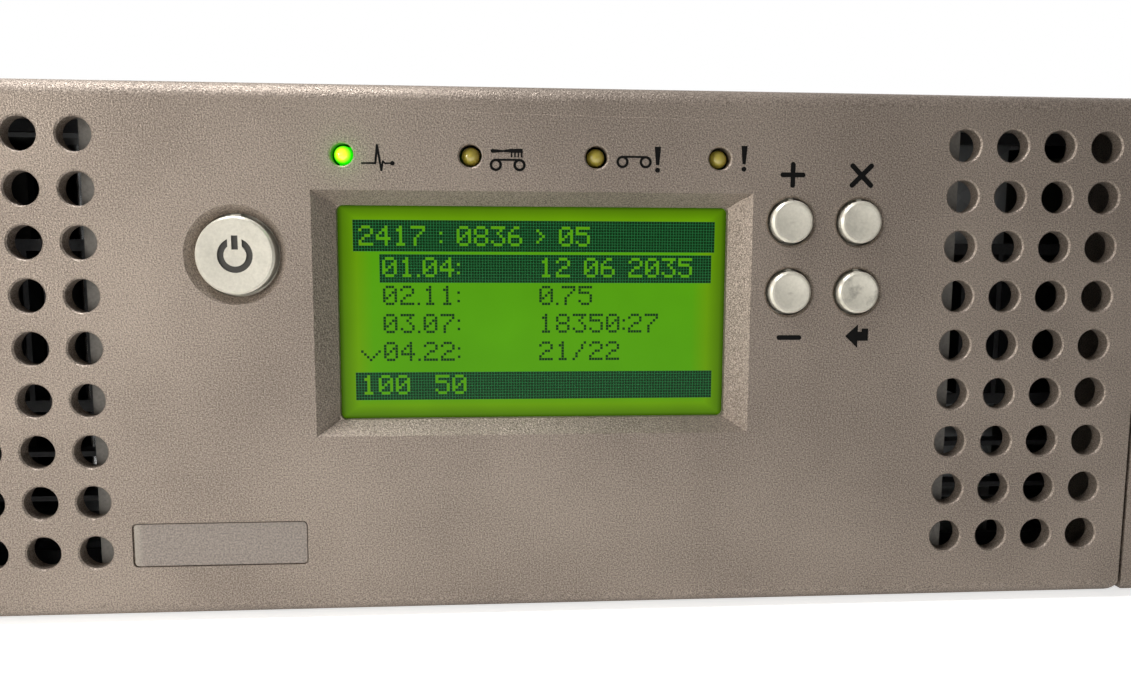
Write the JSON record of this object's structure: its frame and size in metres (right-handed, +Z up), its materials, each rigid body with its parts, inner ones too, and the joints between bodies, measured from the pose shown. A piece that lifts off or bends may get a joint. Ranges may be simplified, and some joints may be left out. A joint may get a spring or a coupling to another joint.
{
  "type": "data tape library",
  "caption": "Low rack-mount tape library: sliding cartridge magazines either side of an operator panel, a picker robot inside and a drive sled at the rear.",
  "frame": {"origin": "centre of the base, level with its underside, halfway between the foremost key and the rearmost handle", "axes": "+X to the right seen from the front, +Y to the rear, +Z up"},
  "size_m": [0.447, 0.77, 0.087],
  "materials": {
    "bezel_plastic": "fine-grained moulded plastic, warm grey",
    "dark_plastic": "moulded, dark grey",
    "button_plastic": "moulded, light warm grey",
    "tag_film": "satin film",
    "display_glass": "green backlit panel",
    "lens": "clear amber",
    "circuit_board": "green solder mask",
    "zinc_steel": "zinc plated sheet",
    "cast_alloy": "bare alloy",
    "coil": "wound coil in a bracket",
    "handle_plastic": "moulded, blue",
    "cartridge_plastic": "moulded, near black"
  },
  "bodies": {
    "chassis": {"base_tray": "zinc_steel", "top_cover": "zinc_steel", "rear_panel": "zinc_steel", "front_brace": "zinc_steel", "front_panel": "bezel_plastic", "tag_plate": "tag_film", "operator_housing": "dark_plastic", "operator_board": "circuit_board", "display_module": "zinc_steel", "display_glass": "display_glass", "status_lenses": "lens", "magazine_runners": "dark_plastic", "guide_rod": "zinc_steel", "rod_clamps": "zinc_steel", "toothed_rack": "dark_plastic", "lock_left_coil": "coil", "lock_right_coil": "coil", "drive_bay_guides": "zinc_steel", "bay_cover": "zinc_steel", "power_supply": "cast_alloy", "power_inlet": "dark_plastic", "controller_bracket": "zinc_steel", "controller_board": "circuit_board", "network_port": "zinc_steel", "service_port": "zinc_steel", "cover_screws": "zinc_steel"},
    "power_button": {"power_button": "button_plastic"},
    "key_up": {"key_up": "button_plastic"},
    "key_cancel": {"key_cancel": "button_plastic"},
    "key_down": {"key_down": "button_plastic"},
    "key_enter": {"key_enter": "button_plastic"},
    "magazine_left": {"magazine_left_bezel": "bezel_plastic", "magazine_left_wall": "dark_plastic", "magazine_left_shelves": "dark_plastic", "magazine_left_dividers": "dark_plastic"},
    "mail_slot": {"mail_slot_bezel": "bezel_plastic", "mail_slot_tray": "dark_plastic"},
    "magazine_right": {"magazine_right_bezel": "bezel_plastic", "magazine_right_wall": "dark_plastic", "magazine_right_shelves": "dark_plastic", "magazine_right_dividers": "dark_plastic", "tape_cartridge": "cartridge_plastic"},
    "carriage": {"carriage_frame": "cast_alloy", "lift_posts": "zinc_steel", "carriage_motor": "cast_alloy", "lift_motor": "cast_alloy"},
    "pinion": {"rack_pinion": "dark_plastic"},
    "lift": {"lift_frame": "cast_alloy"},
    "picker": {"turntable": "dark_plastic", "barcode_reader": "dark_plastic"},
    "gripper": {"gripper": "cast_alloy"},
    "lock_left": {"lock_left_plunger": "zinc_steel"},
    "lock_right": {"lock_right_plunger": "zinc_steel"},
    "drive_sled": {"sled_tray": "zinc_steel", "tape_drive": "cast_alloy", "sled_handle": "handle_plastic", "sled_thumbscrews": "zinc_steel", "host_port": "zinc_steel"},
    "sled_fan": {"sled_fan": "dark_plastic"},
    "supply_fan": {"supply_fan": "dark_plastic"}
  },
  "joints": [
    {"name": "power_button_press", "type": "slide", "parent": "chassis", "child": "power_button", "axis": [0, 1, 0], "range_m": [0, 0.0008], "stiffness_N_per_m": 400},
    {"name": "key_up_press", "type": "slide", "parent": "chassis", "child": "key_up", "axis": [0, 1, 0], "range_m": [0, 0.0008], "stiffness_N_per_m": 400},
    {"name": "key_cancel_press", "type": "slide", "parent": "chassis", "child": "key_cancel", "axis": [0, 1, 0], "range_m": [0, 0.0008], "stiffness_N_per_m": 400},
    {"name": "key_down_press", "type": "slide", "parent": "chassis", "child": "key_down", "axis": [0, 1, 0], "range_m": [0, 0.0008], "stiffness_N_per_m": 400},
    {"name": "key_enter_press", "type": "slide", "parent": "chassis", "child": "key_enter", "axis": [0, 1, 0], "range_m": [0, 0.0008], "stiffness_N_per_m": 400},
    {"name": "magazine_left_slide", "type": "slide", "parent": "chassis", "child": "magazine_left", "axis": [0, -1, 0], "range_m": [0, 0.45]},
    {"name": "magazine_right_slide", "type": "slide", "parent": "chassis", "child": "magazine_right", "axis": [0, -1, 0], "range_m": [0, 0.45]},
    {"name": "mail_slot_slide", "type": "slide", "parent": "magazine_left", "child": "mail_slot", "axis": [0, -1, 0], "range_m": [0, 0.11]},
    {"name": "carriage_slide", "type": "slide", "parent": "chassis", "child": "carriage", "axis": [0, 1, 0], "range_m": [0, 0.3276]},
    {"name": "pinion_spin", "type": "hinge", "parent": "carriage", "child": "pinion", "pos_m": [0.0892, -0.344, 0.006], "axis": [0, 0, 1], "range_deg": [-2090, 5]},
    {"name": "lift_slide", "type": "slide", "parent": "carriage", "child": "lift", "axis": [0, 0, 1], "range_m": [0, 0.048]},
    {"name": "picker_turn", "type": "hinge", "parent": "lift", "child": "picker", "pos_m": [0, -0.27399, 0.005], "axis": [0, 0, 1], "range_deg": [-90, 90]},
    {"name": "gripper_slide", "type": "slide", "parent": "picker", "child": "gripper", "axis": [0, 1, 0], "range_m": [0, 0.15]},
    {"name": "lock_left_slide", "type": "slide", "parent": "chassis", "child": "lock_left", "axis": [1, 0, 0], "range_m": [0, 0.006], "stiffness_N_per_m": 150},
    {"name": "lock_right_slide", "type": "slide", "parent": "chassis", "child": "lock_right", "axis": [-1, 0, 0], "range_m": [0, 0.006], "stiffness_N_per_m": 150},
    {"name": "drive_sled_slide", "type": "slide", "parent": "chassis", "child": "drive_sled", "axis": [0, 1, 0], "range_m": [0, 0.225]},
    {"name": "sled_fan_spin", "type": "hinge", "parent": "drive_sled", "child": "sled_fan", "pos_m": [0.052, 0.351, 0.0237], "axis": [0, 1, 0], "continuous": true},
    {"name": "supply_fan_spin", "type": "hinge", "parent": "chassis", "child": "supply_fan", "pos_m": [-0.1903, 0.35, 0.0214], "axis": [0, 1, 0], "continuous": true}
  ],
  "couplings": [
    {"joint": "pinion_spin", "follows": "carriage_slide", "rad_per_m": -111.11}
  ]
}
